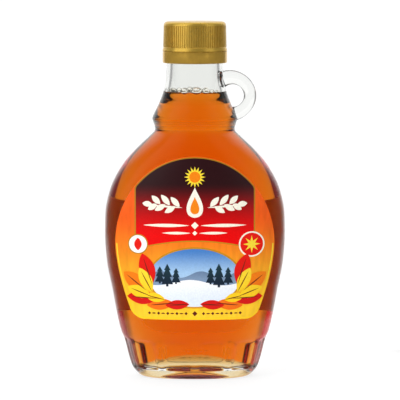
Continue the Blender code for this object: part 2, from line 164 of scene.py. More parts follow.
# The glass wall and its details.
GLASS_SIDES = 96
WALL = 2.9
NECK_WALL = 2.6
NECK_WALL_FROM = 101.0
NECK_WALL_TO = 119.0
PUSH_UP = 5.5
PUSH_UP_SHARES = (0.08, 0.25, 0.45, 0.62, 0.75)
FOOT_EDGE = [(0.45, 2.6), (0.0, 1.8), (0.0, 0.9)]
BOTTOM_THICKNESS = 5.0
BOTTOM_RISE = 6.2
BOTTOM_ROUNDING = 2.2
DOME_SHARES = (0.1, 0.3, 0.5, 0.7, 0.88)
ROUNDING_TURNS = (5, 20, 35, 50, 65, 80)
MOUTH_RADIUS = 10.4
CREASE = 40.0

# The neck's finish with its bead, hidden in the cap: height and radius in mm.
FINISH = [
    (147.5, 13.0),
    (148.0, 13.05),
    (149.8, 13.05),
    (150.3, 12.6),
    (161.9, 12.6),
    (162.7, 12.5),
    (163.1, 12.0),
    (163.1, 10.6),
]
GLASS_TOP = FINISH[-1][0]
ABOVE_MOUTH = 3.0

# The flutes of the heel.
FLUTE_PITCH = 30.0
RIB_HALF_ANGLE = 3.8
FLUTE_LOW = 4.4
FLUTE_HIGH = 18.2
FLUTE_EDGE = 0.7 * MM
FLUTE_DEPTH = 0.8 * MM
FLUTE_ARCH = 1.1 * MM
SAME_HEIGHT = 0.05 * MM
UPRIGHT = 0.5

# The loop handle.
HANDLE_CENTRE = (17.5 * MM, 0.0, 130.7 * MM)
HANDLE_RING_RADIUS = 8.1 * MM
HANDLE_HALF_WIDTH = 2.9 * MM
HANDLE_STEPS = 96
HANDLE_SIDES = 32
HANDLE_FLARE = 1.4 * MM
HANDLE_FLARE_FROM = -0.9
HANDLE_FLARE_TO = 0.7

# The syrup and its foam. A bubble is its angle from the front, its half width and half height in mm,
# and how far its middle is above the surface.
SYRUP_LEVEL = 131.9
INTO_WALL = 0.12
MENISCUS = [(0.7, 0.0), (0.35, 0.45), (0.1, 1.3), (0.0, 2.6)]
FOAM = [
    (3.2, 3.0, 1.9, 1.3),
    (-11.4, 1.4, 1.3, 2.0),
    (-24.2, 2.1, 1.7, 1.1),
    (-36.0, 1.3, 1.3, 1.5),
    (-44.5, 1.1, 1.2, 0.7),
    (-53.0, 1.3, 1.3, 1.3),
    (-65.7, 1.4, 1.4, 1.0),
    (-80.0, 1.2, 1.2, 0.9),
    (25.2, 2.0, 1.6, 1.1),
    (39.2, 1.3, 1.1, 0.8),
    (50.5, 0.9, 0.8, 0.5),
    (105.0, 1.3, 1.0, 0.5),
    (150.0, 1.8, 1.3, 0.9),
    (170.0, 1.2, 1.1, 0.8),
    (190.0, 1.7, 1.3, 0.9),
    (207.0, 1.3, 1.0, 0.5),
    (226.0, 1.6, 1.2, 0.8),
    (250.0, 1.4, 1.0, 0.4),
]
BUBBLE_DEPTH = 0.75
BUBBLE_TOUCH = 0.97
BUBBLE_SIDES = 48
FILM = 0.22
SURFACE_SHARES = (0.55, 0.25, 0.08)

# The screw cap: height and radius in mm, from its inner top down, round the rim and up the grip.
CAP_RIBS = 84
CAP_GRIP_LOW = 153.4
CAP_GRIP_HIGH = 163.3
CAP_RADIUS_HIGH = 14.45
CAP_ROUNDING = 1.8
CAP_BORE = 13.45
CAP_WALL_LEAST = 0.5
CAP_CREASE = 35.0
CAP_INSIDE = [(163.6, 3.0), (163.6, 12.8), (163.0, CAP_BORE), (151.75, CAP_BORE), (151.45, 13.7)]
CAP_RIM = [(151.45, 14.8), (151.6, 15.0), (151.95, 15.0), (152.2, 14.88), (153.2, 14.56)]
CAP_GRIP = [(CAP_GRIP_LOW, 14.7), (CAP_GRIP_HIGH, CAP_RADIUS_HIGH)]
CAP_CROWN = [(165.1, 10.0), (165.05, 4.0)]
GROOVE_DEPTH = 0.3 * MM
GROOVE_EDGE = 0.08 * MM

# The tamper band: height and radius in mm round its section.
BAND_SIDES = 192
BAND_PROFILE = [
    (151.25, 13.6),
    (151.35, 13.7),
    (151.35, 14.85),
    (151.2, 15.0),
    (146.5, 15.0),
    (146.1, 14.9),
    (145.9, 14.55),
    (145.9, 13.9),
    (146.1, 13.6),
]

# The labels.
LABEL_WAIST = 63.3
LABEL_HALF_WIDTH = 36.6
LABEL_ARCH_RISE = 40.6
LABEL_LOW = 28.6
LABEL_LOW_HALF_WIDTH = 27.9
LABEL_CORNER = 4.5
LABEL_TAPER_POWER = 1.6
BACK_HALF_WIDTH = 34.0
BACK_LOW = 31.0
BACK_HIGH = 79.3
BACK_CORNER = 4.0
LABEL_INTO_GLASS = 0.08 * MM
LABEL_FACE = 0.30 * MM
LABEL_NET = 1.5
PRESSED_FROM = -60 * MM

# The print: thin layers of ink on the front label.
INK_LAYER = 0.025 * MM
INK_THICKNESS = 0.04 * MM
EDGE_INSET = 0.5
EDGE_LINE = 0.55
FRAME_INSET = 0.25
FRAME_LINE = 0.6
PANEL_INSET = 0.8
PANEL_HALF_WIDTH = 27.0
PANEL_LOW = 61.5
PANEL_BOW = 4.0
MEDALLION = (0.0, 48.2)
MEDALLION_SIZE = (21.5, 14.2)
MEDALLION_RIM = 0.8
MEDALLION_POINTS = 96
HILL_REACH = 0.97
HILL_LEAST = 0.05
LOW_ROW = 31.6
LOW_ROW_PITCH = 4.2
SUN = (0.0, 94.6)
RIGHT_DISC = (26.0, 63.5)
LEFT_DISC = (-26.0, 63.5)
VEIN_SHARE = 0.86
VEIN_WIDTH = 0.45
SPRIG_LEAF_WIDTH = 2.6

# The inks: display colour below and above, and the two heights in mm between which it changes.
INKS = {
    "cream": ((255, 248, 226), (255, 252, 238), 60, 100),
    "gold": ((214, 150, 26), (176, 122, 30), 30, 100),
    "red": ((214, 16, 10), (236, 24, 12), 34, 66),
    "orange": ((244, 112, 14), (250, 138, 20), 34, 60),
    "yellow": ((255, 206, 24), (255, 226, 60), 34, 60),
    "brown": ((92, 30, 12), (112, 36, 16), 28, 60),
    "snow": ((226, 236, 250), (255, 255, 255), 36, 50),
    "sky": ((168, 204, 238), (70, 128, 200), 48, 62),
    "far_hill": ((128, 152, 182), (92, 116, 150), 46, 54),
    "pine": ((18, 34, 52), (30, 58, 66), 44, 56),
    "panel": ((240, 0, 2), (44, 14, 18), 66, 92),
}
LEAF_LAYERS = {"red": 8, "orange": 7, "yellow": 9}
VEIN_LAYER = 10

# Leaves of the wreath on the right, mirrored to the left: foot (x, z), turn, length, width and ink.
WREATH = [
    (19.5, 45.0, 72, 15.0, 7.2, "red"),
    (22.0, 42.0, 38, 13.5, 7.0, "orange"),
    (17.0, 38.5, 2, 14.0, 6.4, "red"),
    (19.5, 41.5, 62, 12.5, 5.6, "yellow"),
    (20.0, 39.5, 20, 11.5, 5.6, "yellow"),
    (9.5, 36.5, -6, 12.5, 5.2, "orange"),
    (2.5, 36.0, -3, 11.0, 4.4, "red"),
    (13.5, 38.0, 12, 9.5, 4.2, "yellow"),
]

# Pines: foot (x, z), width and height.
PINES = [
    (-16.0, 45.5, 4.6, 8.0),
    (-12.6, 44.2, 5.4, 10.5),
    (-8.6, 45.4, 4.2, 7.4),
    (7.2, 45.2, 4.4, 7.8),
    (11.0, 43.8, 5.6, 11.0),
    (15.2, 45.0, 4.6, 8.2),
]

# Leaves of the sprig on the right, mirrored to the left: foot (x, z), turn and length.
SPRIG_LEAVES = [
    (7.0, 81.0, 48, 6.0),
    (9.0, 81.2, -32, 5.6),
    (11.4, 81.7, 50, 6.2),
    (13.4, 82.0, -30, 5.6),
    (15.8, 82.2, 44, 5.4),
    (17.4, 82.2, -34, 4.8),
    (19.4, 81.9, 6, 4.6),
]


def slopes_through(points):
    """A slope at each (height, value) point that keeps a cubic through them free of overshoot."""
    steps = [
        (high[1] - low[1]) / (high[0] - low[0]) for low, high in zip(points, points[1:])
    ]
    slopes = [steps[0]]
    for before, after in zip(steps, steps[1:]):
        slopes.append(0.0 if before * after <= 0 else 2 * before * after / (before + after))
    return slopes + [steps[-1]]


def smooth_curve(points):
    """A function that reads the smooth curve through the (height, value) points."""
    slopes = slopes_through(points)

    def read(height):
        if height <= points[0][0]:
            return points[0][1]
        for i in range(len(points) - 1):
            low, high = points[i], points[i + 1]
            if height <= high[0]:
                span = high[0] - low[0]
                t = (height - low[0]) / span
                return (
                    low[1] * (2 * t**3 - 3 * t**2 + 1)
                    + slopes[i] * span * (t**3 - 2 * t**2 + t)
                    + high[1] * (3 * t**2 - 2 * t**3)
                    + slopes[i + 1] * span * (t**3 - t**2)
                )
        return points[-1][1]

    return read


half_width = smooth_curve([(row[0], row[1]) for row in GLASS_SECTIONS])
half_depth = smooth_curve([(row[0], row[2]) for row in GLASS_SECTIONS])


def smooth_step(low, high, value):
    """0 below low, 1 above high and a smooth rise between them."""
    t = min(max((value - low) / (high - low), 0.0), 1.0)
    return t * t * (3 - 2 * t)


def levels(low, high, step):
    """Even heights from low to high, both included, about a step apart."""
    count = max(1, round((high - low) / step))
    return [low + (high - low) * i / count for i in range(count + 1)]


def deselect():
    bpy.ops.object.select_all(action="DESELECT")


def take(obj):
    """Makes one object the active and only selected one."""
    deselect()
    obj.select_set(True)
    bpy.context.view_layer.objects.active = obj
    return obj


def edit(obj):
    take(obj)
    bpy.ops.object.mode_set(mode="EDIT")
    bpy.ops.mesh.select_mode(type="VERT")


def leave_edit():
    bpy.ops.object.mode_set(mode="OBJECT")


def pick(test, kind="VERT"):
    """Selects the points or faces in edit mode whose place passes the test."""
    bpy.ops.mesh.select_mode(type=kind)
    bpy.ops.mesh.select_all(action="DESELECT")
    mesh = bmesh.from_edit_mesh(bpy.context.object.data)
    if kind == "FACE":
        for face in mesh.faces:
            face.select_set(bool(test(face.calc_center_median(), face.normal)))
    else:
        for vert in mesh.verts:
            vert.select_set(bool(test(vert.co)))
        mesh.select_flush(True)
    bmesh.update_edit_mesh(bpy.context.object.data)


def apply_modifier(obj, kind, **settings):
    """Adds a modifier with these settings and applies it."""
    take(obj)
    modifier = obj.modifiers.new(kind.lower(), kind)
    for key, value in settings.items():
        setattr(modifier, key, value)
    bpy.ops.object.modifier_apply(modifier=modifier.name)


def cut(obj, tool, operation):
    """Applies a Boolean with another object, which is then deleted."""
    apply_modifier(obj, "BOOLEAN", operation=operation, solver="EXACT", object=tool)
    bpy.data.objects.remove(tool)


def smooth(obj, angle=30.0):
    take(obj)
    bpy.ops.object.shade_smooth_by_angle(angle=math.radians(angle))


def settle(obj):
    """Moves the object's place, turn and size into its mesh."""
    take(obj)
    bpy.ops.object.transform_apply(location=True, rotation=True, scale=True)


def dress(obj, material, slot, *nodes):
    """Gives a finished piece its material and its body, and hides the CAD nodes that it stands for."""
    obj.data.materials.clear()
    obj.data.materials.append(material)
    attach(obj, "root")
    if nodes:
        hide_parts(*nodes)
    return obj


def loft(name, sections, sides):
    """A closed body through level ovals (height, half width, half depth in mm), from an extruded circle."""
    deselect()
    bpy.ops.mesh.primitive_circle_add(vertices=sides, radius=1.0, location=(0, 0, 0))
    obj = bpy.context.object
    obj.name = obj.data.name = name
    edit(obj)
    bpy.ops.mesh.select_all(action="SELECT")
    height, width, depth = [value * MM for value in sections[0]]
    bpy.ops.transform.resize(value=(width, depth, 1.0), center_override=(0, 0, 0))
    bpy.ops.transform.translate(value=(0, 0, height))
    for section in sections[1:]:
        next_height, next_width, next_depth = [value * MM for value in section]
        bpy.ops.mesh.extrude_region_move(
            TRANSFORM_OT_translate={"value": (0, 0, next_height - height)}
        )
        bpy.ops.transform.resize(
            value=(next_width / width, next_depth / depth, 1.0),
            center_override=(0, 0, next_height),
        )
        height, width, depth = next_height, next_width, next_depth
    for _ in range(2):
        bpy.ops.mesh.extrude_region_move()
        bpy.ops.mesh.merge(type="CENTER")
        bpy.ops.mesh.select_all(action="DESELECT")
        bpy.ops.mesh.select_non_manifold()
    bpy.ops.mesh.select_all(action="SELECT")
    bpy.ops.mesh.normals_make_consistent(inside=False)
    leave_edit()
    return obj


def fill_out(obj):
    """Makes the body's ellipses fuller at their corners, up to where the neck gets round."""
    low_width, low_depth = half_width(0) * MM, half_depth(0) * MM
    for vert in obj.data.vertices:
        height = vert.co.z / MM
        power = 2 + (FULLNESS - 2) * (1 - smooth_step(ROUND_FROM, ROUND_TO, height))
        turn = math.atan2(vert.co.x * low_depth / low_width, vert.co.y)
        grow = (abs(math.sin(turn)) ** power + abs(math.cos(turn)) ** power) ** (-1 / power)
        vert.co.x *= grow
        vert.co.y *= grow


def turned(name, profile, sides):
    """A closed round body through (height, radius) pairs in mm."""
    return loft(name, [(height, radius, radius) for height, radius in profile], sides)


def outer_heights():
    """Heights of the outer wall's rings in mm, close together where the profile bends."""
    heights = [0.0, 0.25, 0.6, 1.1, 1.8, 2.5, 3.2, 4.0, FLUTE_LOW]
    heights += levels(FLUTE_LOW, FLUTE_HIGH, 2.2)[1:]
    heights += [18.7, 19.2, 19.7, 20.3, 21.2, 22.6]
    heights += levels(25.0, 107.0, 2.6)
    heights += levels(108.6, 113.0, 1.1)
    heights += levels(113.8, 124.0, 0.7)
    return heights + levels(125.2, 146.6, 1.5)


def build_glass_outside():
    """The bottle as solid glass: push-up, foot, heel with flutes, body, neck and finish."""
    foot_width, foot_depth = half_width(0), half_depth(0)
    sections = [
        (PUSH_UP * (1 - share**2), foot_width * share, foot_depth * share)
        for share in PUSH_UP_SHARES
    ]
    sections += [(rise, foot_width - back, foot_depth - back) for rise, back in FOOT_EDGE]
    sections += [(height, half_width(height), half_depth(height)) for height in outer_heights()]
    sections += [(height, radius, radius) for height, radius in FINISH]
    glass = loft("glass_flask", sections, GLASS_SIDES)
    fill_out(glass)
    press_flutes(glass)
    apply_modifier(glass, "SUBSURF", levels=1, render_levels=1)
    return glass


def from_rib(place):
    """Degrees from the nearest rib of the heel, along the oval's own angle."""
    height = place.z / MM
    angle = math.degrees(math.atan2(place.x / half_width(height), -place.y / half_depth(height)))
    return abs((angle + FLUTE_PITCH / 2) % FLUTE_PITCH - FLUTE_PITCH / 2)


def press_flutes(glass):
    """Insets the twelve panels of the heel and presses them in, with arched upper edges."""
    edit(glass)
    column = 360.0 / GLASS_SIDES
    top = FLUTE_HIGH * MM
    for steps in range(1, 4):
        reach = steps * column
        drop = FLUTE_ARCH * (1 - reach / (FLUTE_PITCH / 2)) ** 2
        pick(
            lambda place: abs(place.z - top) < SAME_HEIGHT
            and abs(from_rib(place) - reach) < column / 3
        )
        bpy.ops.transform.translate(value=(0, 0, -drop))
    low, high = FLUTE_LOW * MM, FLUTE_HIGH * MM
    pick(
        lambda middle, normal: low < middle.z < high
        and from_rib(middle) > RIB_HALF_ANGLE
        and math.hypot(normal.x, normal.y) > UPRIGHT,
        "FACE",
    )
    bpy.ops.mesh.inset(thickness=FLUTE_EDGE, depth=-FLUTE_DEPTH, use_even_offset=True)
    leave_edit()


def inner_section(height, spare):
    """The inside of the wall at a height, a distance spare inside of it."""
    thinner = smooth_step(NECK_WALL_FROM, NECK_WALL_TO, height)
    wall = WALL + (NECK_WALL - WALL) * thinner + spare
    bore = MOUTH_RADIUS - spare
    return (
        height,
        max(half_width(height) - wall, bore),
        max(half_depth(height) - wall, bore),
    )


def inner_sections(spare, top):
    """Sections of the hollow from its domed bottom up to a height."""
    floor = BOTTOM_THICKNESS + spare
    full = floor + BOTTOM_ROUNDING
    _, wide, deep = inner_section(full, spare)
    sections = []
    for share in DOME_SHARES:
        rise = BOTTOM_RISE * (1 - share**2)
        sections.append((floor + rise, (wide - BOTTOM_ROUNDING) * share, (deep - BOTTOM_ROUNDING) * share))
    for turn in ROUNDING_TURNS:
        shrink = BOTTOM_ROUNDING * (1 - math.sin(math.radians(turn)))
        rise = BOTTOM_ROUNDING * (1 - math.cos(math.radians(turn)))
        sections.append((floor + rise, wide - shrink, deep - shrink))
    heights = levels(full, 107.0, 2.8) + levels(108.3, 124.0, 1.0) + levels(125.5, top, 1.6)
    return sections + [inner_section(height, spare) for height in heights]


def build_handle():
    """The loop handle: a ring whose outer side spreads where it runs into the neck."""
    deselect()
    bpy.ops.mesh.primitive_torus_add(
        major_segments=HANDLE_STEPS,
        minor_segments=HANDLE_SIDES,
        major_radius=HANDLE_RING_RADIUS,
        minor_radius=HANDLE_HALF_WIDTH,
        location=HANDLE_CENTRE,
        rotation=(math.pi / 2, 0, 0),
    )
    handle = bpy.context.object
    settle(handle)
    edit(handle)
    centre = Vector(HANDLE_CENTRE)
    step = 360.0 / HANDLE_STEPS
    for i in range(HANDLE_STEPS):
        along = math.radians(i * step)
        spread = HANDLE_FLARE * smooth_step(HANDLE_FLARE_FROM, HANDLE_FLARE_TO, -math.cos(along))
        if spread == 0.0:
            continue
        ray = Vector((math.cos(along), 0, math.sin(along)))

        def on_this_step(place):
            arm = place - centre
            arm.y = 0
            return arm.angle(ray) < math.radians(step / 2)

        pick(on_this_step)
        hole_side = centre + (HANDLE_RING_RADIUS - HANDLE_HALF_WIDTH) * ray
        grow = 1 + spread / (2 * HANDLE_HALF_WIDTH)
        bpy.ops.transform.resize(value=(grow, 1.0, grow), center_override=hole_side)
    leave_edit()
    return handle


def build_glass(material):
    """The clear bottle with its handle, hollowed out from the mouth."""
    glass = build_glass_outside()
    cut(glass, build_handle(), "UNION")
    hollow = loft("hollow", inner_sections(0.0, GLASS_TOP + ABOVE_MOUTH), GLASS_SIDES)
    fill_out(hollow)
    apply_modifier(hollow, "SUBSURF", levels=1, render_levels=1)
    cut(glass, hollow, "DIFFERENCE")
    smooth(glass, CREASE)
    return dress(glass, material, "clear_glass", "glass_bottle")


def add_bubble(angle, wide, high, lift, shrink=0.0):
    """One bubble as a flattened ball against the neck's inner wall, made smaller by shrink."""
    turn = math.radians(angle)
    _, inner, _ = inner_section(SYRUP_LEVEL, 0.0)
    reach = (inner - wide * BUBBLE_DEPTH * BUBBLE_TOUCH) * MM
    deselect()
    bpy.ops.mesh.primitive_uv_sphere_add(
        segments=BUBBLE_SIDES,
        ring_count=BUBBLE_SIDES // 2,
        radius=1.0,
        location=(reach * math.sin(turn), -reach * math.cos(turn), (SYRUP_LEVEL + lift) * MM),
        rotation=(0, 0, turn),
        scale=((wide - shrink) * MM, (wide * BUBBLE_DEPTH - shrink) * MM, (high - shrink) * MM),
    )
    bubble = bpy.context.object
    settle(bubble)
    return bubble


def join(parts, name):
    """Joins several objects into one with this name."""
    take(parts[0])
    for part in parts[1:]:
        part.select_set(True)
    if len(parts) > 1:
        bpy.ops.object.join()
    obj = bpy.context.object
    obj.name = obj.data.name = name
    return obj


def build_syrup(material):
    """The syrup, just into the glass wall, with a curled rim and the dents of its bubbles."""
    sections = inner_sections(-INTO_WALL, SYRUP_LEVEL + MENISCUS[0][0])
    _, rim, _ = sections[-1]
    for lift, inward in MENISCUS[1:]:
        sections.append((SYRUP_LEVEL + lift, rim - inward, rim - inward))
    for share in SURFACE_SHARES:
        sections.append((SYRUP_LEVEL, rim * share, rim * share))
    syrup = loft("maple_syrup", sections, GLASS_SIDES)
    fill_out(syrup)
    apply_modifier(syrup, "SUBSURF", levels=1, render_levels=1)
    for bubble in FOAM:
        cut(syrup, add_bubble(*bubble, shrink=0.5 * FILM), "DIFFERENCE")
    smooth(syrup, CREASE)
    return dress(syrup, material, "amber_syrup", "syrup")


def build_foam(material):
    """The thin films of the bubbles that ring the syrup's surface."""
    bubbles = []
    for shape in FOAM:
        bubble = add_bubble(*shape)
        apply_modifier(bubble, "SOLIDIFY", thickness=FILM * MM, offset=-1.0)
        bubbles.append(bubble)
    foam = join(bubbles, "foam_films")
    smooth(foam)
    return dress(foam, material, "amber_syrup", "syrup")


def build_cap(material):
    """The screw cap: flared rim, grip with pressed grooves and a rounded top, hollow below."""
    profile = CAP_INSIDE + CAP_RIM + CAP_GRIP
    for turn in range(15, 91, 15):
        drop = CAP_ROUNDING * (1 - math.cos(math.radians(turn)))
        rise = CAP_ROUNDING * math.sin(math.radians(turn))
        profile.append((CAP_GRIP_HIGH + rise, CAP_RADIUS_HIGH - drop))
    profile += CAP_CROWN
    cap = turned("screw_cap", profile, 4 * CAP_RIBS)
    edit(cap)
    low, high = CAP_GRIP_LOW * MM, CAP_GRIP_HIGH * MM
    pitch = 360.0 / CAP_RIBS

    def in_groove(middle, normal):
        angle = math.degrees(math.atan2(middle.x, -middle.y)) % pitch
        outside = math.hypot(middle.x, middle.y) > (CAP_BORE + CAP_WALL_LEAST) * MM
        return outside and low < middle.z < high and angle > pitch / 2

    pick(in_groove, "FACE")
    bpy.ops.mesh.inset(thickness=GROOVE_EDGE, depth=-GROOVE_DEPTH, use_even_offset=True)
    leave_edit()
    smooth(cap, CAP_CREASE)
    return dress(cap, material, "gold_plastic", "cap")


def build_band(material):
    """The plain tamper band: a smooth ring with rounded edges."""
    height, radius = BAND_PROFILE[0]
    deselect()
    bpy.ops.mesh.primitive_circle_add(vertices=BAND_SIDES, radius=radius * MM, location=(0, 0, 0))
    band = bpy.context.object
    band.name = band.data.name = "tamper_ring"
    edit(band)
    bpy.ops.mesh.select_all(action="SELECT")
    bpy.ops.transform.translate(value=(0, 0, height * MM))
    for next_height, next_radius in BAND_PROFILE[1:]:
        bpy.ops.mesh.extrude_region_move(
            TRANSFORM_OT_translate={"value": (0, 0, (next_height - height) * MM)}
        )
        grow = next_radius / radius
        bpy.ops.transform.resize(
            value=(grow, grow, 1.0), center_override=(0, 0, next_height * MM)
        )
        height, radius = next_height, next_radius
    bpy.ops.mesh.select_all(action="DESELECT")
    bpy.ops.mesh.select_non_manifold()
    bpy.ops.mesh.bridge_edge_loops()
    bpy.ops.mesh.select_all(action="SELECT")
    bpy.ops.mesh.normals_make_consistent(inside=False)
    leave_edit()
    smooth(band, CREASE)
    return dress(band, material, "gold_plastic", "tamper_band")


def label_half_width(height):
    """Half the label's width at a height in mm: an elliptic arch above its waist, a taper below it."""
    if height >= LABEL_WAIST:
        rise = min((height - LABEL_WAIST) / LABEL_ARCH_RISE, 1.0)
        return LABEL_HALF_WIDTH * math.sqrt(1 - rise * rise)
    fall = (LABEL_WAIST - height) / (LABEL_WAIST - LABEL_LOW)
    taper = (LABEL_HALF_WIDTH - LABEL_LOW_HALF_WIDTH) * fall**LABEL_TAPER_POWER
    from_corner = max(LABEL_CORNER - (height - LABEL_LOW), 0.0)
    corner = LABEL_CORNER - math.sqrt(LABEL_CORNER**2 - from_corner**2)
    return LABEL_HALF_WIDTH - taper - corner


def label_outline():
    """Points (x, z) in mm round the label, from the middle of its lower edge to the right and on."""
    corner = [LABEL_LOW + LABEL_CORNER * (1 - math.cos(math.radians(t))) for t in range(0, 91, 15)]
    side = levels(LABEL_LOW + LABEL_CORNER, LABEL_WAIST, 2.5)[1:]
    arch = [
        LABEL_WAIST + LABEL_ARCH_RISE * math.sin(math.radians(t)) for t in range(3, 90, 3)
    ]
    right = [(label_half_width(height), height) for height in corner + side + arch]
    low = [(x, LABEL_LOW) for x in levels(0.0, right[0][0], 2.5)[:-1]]
    half = low + right
    top = [(0.0, LABEL_WAIST + LABEL_ARCH_RISE)]
    return half + top + [(-x, z) for x, z in reversed(half) if x > 0]


def back_outline():
    """Points (x, z) in mm round the back label, a rounded rectangle."""
    points = []
    for side_x, side_z, first in ((1, -1, -90), (1, 1, 0), (-1, 1, 90), (-1, -1, 180)):
        centre_x = side_x * (BACK_HALF_WIDTH - BACK_CORNER)
        centre_z = BACK_LOW + BACK_CORNER if side_z < 0 else BACK_HIGH - BACK_CORNER
        for turn in range(0, 91, 15):
            angle = math.radians(first + turn)
            points.append(
                (centre_x + BACK_CORNER * math.cos(angle), centre_z + BACK_CORNER * math.sin(angle))
            )
    return points


def flat_shape(name, outline):
    """A flat upright face with this outline (x, z) in mm, in front of the bottle."""
    deselect()
    bpy.ops.mesh.primitive_circle_add(
        vertices=len(outline), radius=1.0, fill_type="NGON", rotation=(math.pi / 2, 0, 0)
    )
    shape = bpy.context.object
    settle(shape)
    shape.name = shape.data.name = name
    for vert, (x, z) in zip(shape.data.vertices, outline):
        vert.co = (x * MM, PRESSED_FROM, z * MM)
    return shape


def oval(x, z, wide, high, count=48):
    """Points round an oval, in mm."""
    turns = [2 * math.pi * i / count for i in range(count)]
    return [(x + wide * math.cos(t), z + high * math.sin(t)) for t in turns]


def star(x, z, inner, outer, count):
    """Points of a disc with this many pointed rays."""
    points = []
    for i in range(2 * count):
        reach = inner if i % 2 else outer
        turn = math.pi * i / count
        points.append((x + reach * math.cos(turn), z + reach * math.sin(turn)))
    return points


def leaf(x, z, turn, length, width):
    """A pointed leaf from its foot at (x, z) in the direction turn in degrees."""
    along, across = math.cos(math.radians(turn)), math.sin(math.radians(turn))
    edge = [(length * t, 0.5 * width * math.sin(math.pi * t) ** 0.8) for t in levels(0.0, 0.999, 0.08)]
    outline = edge + [(a, -b) for a, b in reversed(edge[1:-1])]
    return [(x + a * along - b * across, z + a * across + b * along) for a, b in outline]


def drop(x, z, wide, high):
    """A drop with its tip upwards."""
    points = []
    for i in range(36):
        t = 2 * math.pi * i / 36
        swell = math.sin(t / 2) ** 1.5
        points.append((x + wide * math.sin(t) * swell, z + high * math.cos(t)))
    return points


def pine(x, z, wide, high):
    """A pine tree with three tiers on a short trunk."""
    right = [(0.1, 0.0), (0.1, 0.1), (0.5, 0.1), (0.22, 0.42), (0.4, 0.42), (0.16, 0.72), (0.28, 0.72)]
    outline = right + [(0.0, 1.0)] + [(-a, b) for a, b in reversed(right)]
    return [(x + a * wide, z + b * high) for a, b in outline]


def hill(inset, height, swing, waves, shift):
    """The part of the medallion below a rolling line."""
    wide, high = [size - inset for size in MEDALLION_SIZE]
    top, bottom = [], []
    for dx in levels(-HILL_REACH * wide, HILL_REACH * wide, 1.0):
        rim = high * math.sqrt(1 - (dx / wide) ** 2)
        line = height + swing * math.sin(waves * dx / wide + shift)
        top.append((MEDALLION[0] + dx, MEDALLION[1] + max(min(line, rim), HILL_LEAST - rim)))
        bottom.append((MEDALLION[0] + dx, MEDALLION[1] - rim))
    return bottom + top[::-1]


def arched_panel(inset, half, low):
    """The arched panel's outline, this far inside the label's arch."""
    wide, rise = LABEL_HALF_WIDTH - inset, LABEL_ARCH_RISE - inset
    bottom = [(x, low + PANEL_BOW * (1 - (x / half) ** 2)) for x in levels(0.0, half, 1.5)]
    right = [(half, height) for height in levels(low, LABEL_WAIST, 3.0)[1:]]
    for turn in range(2, 90, 2):
        x = wide * math.cos(math.radians(turn))
        right.append((min(x, half), LABEL_WAIST + rise * math.sin(math.radians(turn))))
    side = bottom + right
    return side + [(0.0, LABEL_WAIST + rise)] + [(-x, z) for x, z in reversed(side) if x > 0]


def mirrored(outlines):
    """The outlines and their mirror images at the bottle's middle plane."""
    return outlines + [[(-x, z) for x, z in outline] for outline in outlines]


def edge_line(inset, width):
    """A thin band along the label's lower edge and up its tapered sides."""
    outer, inner = [], []
    for height in reversed(levels(LABEL_LOW + inset, LABEL_WAIST, 1.5)):
        outer.append((label_half_width(height) - inset, height))
        floor = LABEL_LOW + inset + width
        inner.append((label_half_width(height) - inset - width, max(height, floor)))
    return outer + [(-x, z) for x, z in reversed(outer)] + [(-x, z) for x, z in inner] + inner[::-1]


def print_ink(name, outlines, layer, body, material):
    """Shapes of one ink as a thin layer on the bent front label."""
    shapes = []
    for outline in outlines:
        area = sum(a[0] * b[1] - b[0] * a[1] for a, b in zip(outline, outline[1:] + outline[:1]))
        shapes.append(flat_shape(name, outline if area > 0 else outline[::-1]))
    film = join(shapes, name)
    grid_cut(film, LABEL_NET)
    wrap(film, body, LABEL_FACE + layer * INK_LAYER)
    apply_modifier(film, "SOLIDIFY", thickness=INK_THICKNESS, offset=-1.0)
    edit(film)
    bpy.ops.mesh.select_all(action="SELECT")
    bpy.ops.mesh.normals_make_consistent(inside=False)
    leave_edit()
    smooth(film, CREASE)
    dress(film, material, "front_paper")


def low_row():
    """A row of small diamonds and slim leaves along the label's lower edge."""
    places = [(side, i) for i in range(5) for side in (-1, 1)]
    marks = [oval(side * (4.0 + LOW_ROW_PITCH * i), LOW_ROW, 0.75, 0.75, 4) for side, i in places]
    for side, i in places[:8]:
        marks.append(leaf(side * (5.2 + LOW_ROW_PITCH * i), LOW_ROW, 90 - side * 90, 1.9, 0.6))
    return marks + [oval(0.0, LOW_ROW, 1.2, 1.2, 4)]


def title_ornament():
    """A drop between two sprigs, over four slim bars with diamonds between them."""
    sprigs = [leaf(x, z, turn, length, SPRIG_LEAF_WIDTH) for x, z, turn, length in SPRIG_LEAVES]
    stem = [leaf(5.6, 80.6, 4, 15.5, 0.9)]
    bars = [leaf(2.6, 72.4, 0, 21.0, 1.5), leaf(2.0, 68.9, 0, 13.0, 1.2)]
    diamonds = [oval(0.0, 72.4, 1.7, 1.7, 4), oval(0.0, 68.9, 1.1, 1.1, 4)]
    return mirrored(sprigs + stem + bars) + [drop(0.0, 83.0, 5.4, 7.0)] + diamonds


def wreath_print():
    """The wreath's leaves, one piece for each ink, and their veins."""
    pieces = []
    for tone, layer in LEAF_LAYERS.items():
        leaves = [leaf(*row[:5]) for row in WREATH if row[5] == tone]
        pieces.append((tone + "_leaves", mirrored(leaves), layer, tone))
    veins = [leaf(x, z, turn, VEIN_SHARE * length, VEIN_WIDTH) for x, z, turn, length, _, _ in WREATH]
    return pieces + [("leaf_veins", mirrored(veins), VEIN_LAYER, "brown")]


